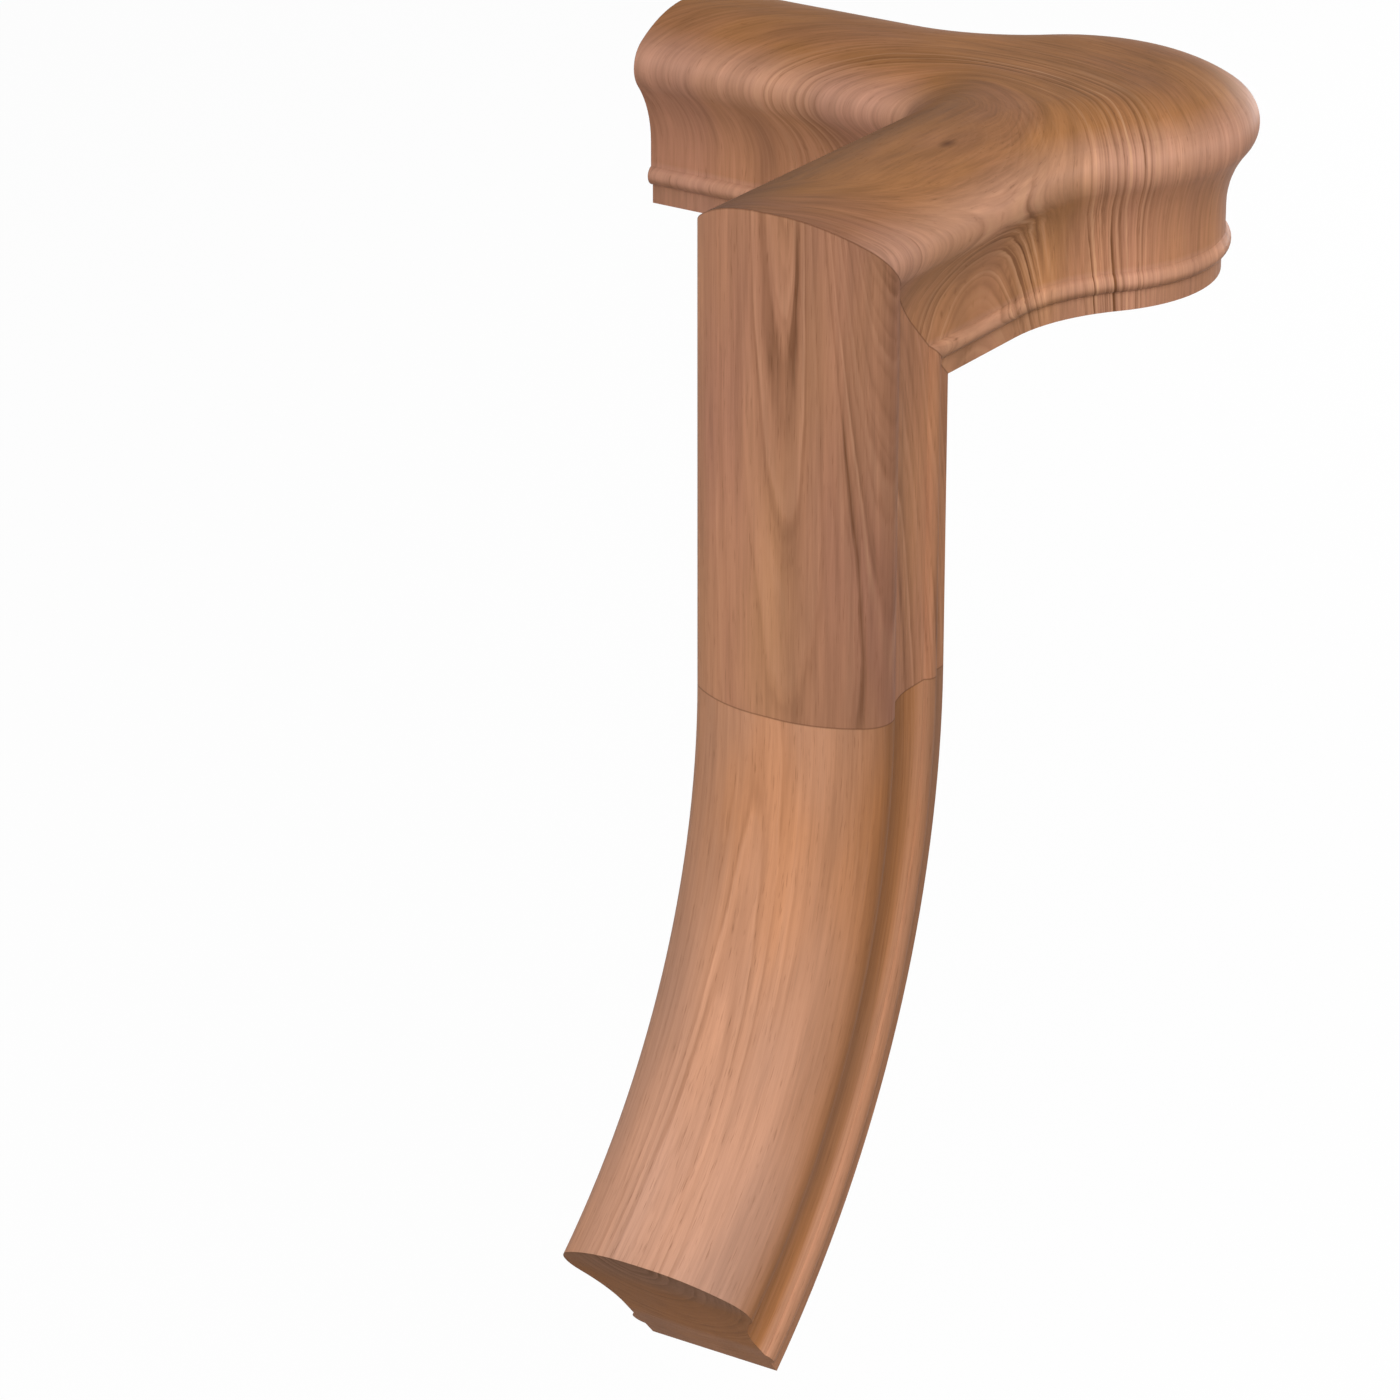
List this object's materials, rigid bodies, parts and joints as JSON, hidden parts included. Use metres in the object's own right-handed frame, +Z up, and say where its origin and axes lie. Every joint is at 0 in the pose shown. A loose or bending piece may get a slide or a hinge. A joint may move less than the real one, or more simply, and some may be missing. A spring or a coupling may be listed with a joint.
{
  "type": "handrail gooseneck fitting",
  "caption": "Left-hand wooden handrail gooseneck: a level quarter turn with a round newel cap, mitred to a vertical drop that sweeps into an up-easing for the raking rail.",
  "frame": {"origin": "middle of the cap's underside, at the mouth of the newel pin hole", "axes": "+Z up along the newel post, +X the way the stair climbs, +Y along the level rail"},
  "size_m": [0.2994, 0.1995, 0.3589],
  "materials": {
    "level_oak": "satin clear finish",
    "drop_oak": "satin clear finish",
    "easing_oak": "satin clear finish",
    "dowel_birch": "bare turned wood"
  },
  "bodies": {
    "root": {"quarter_turn_cap": "level_oak", "drop": "drop_oak", "up_easing": "easing_oak", "dowels": "dowel_birch"}
  },
  "joints": []
}
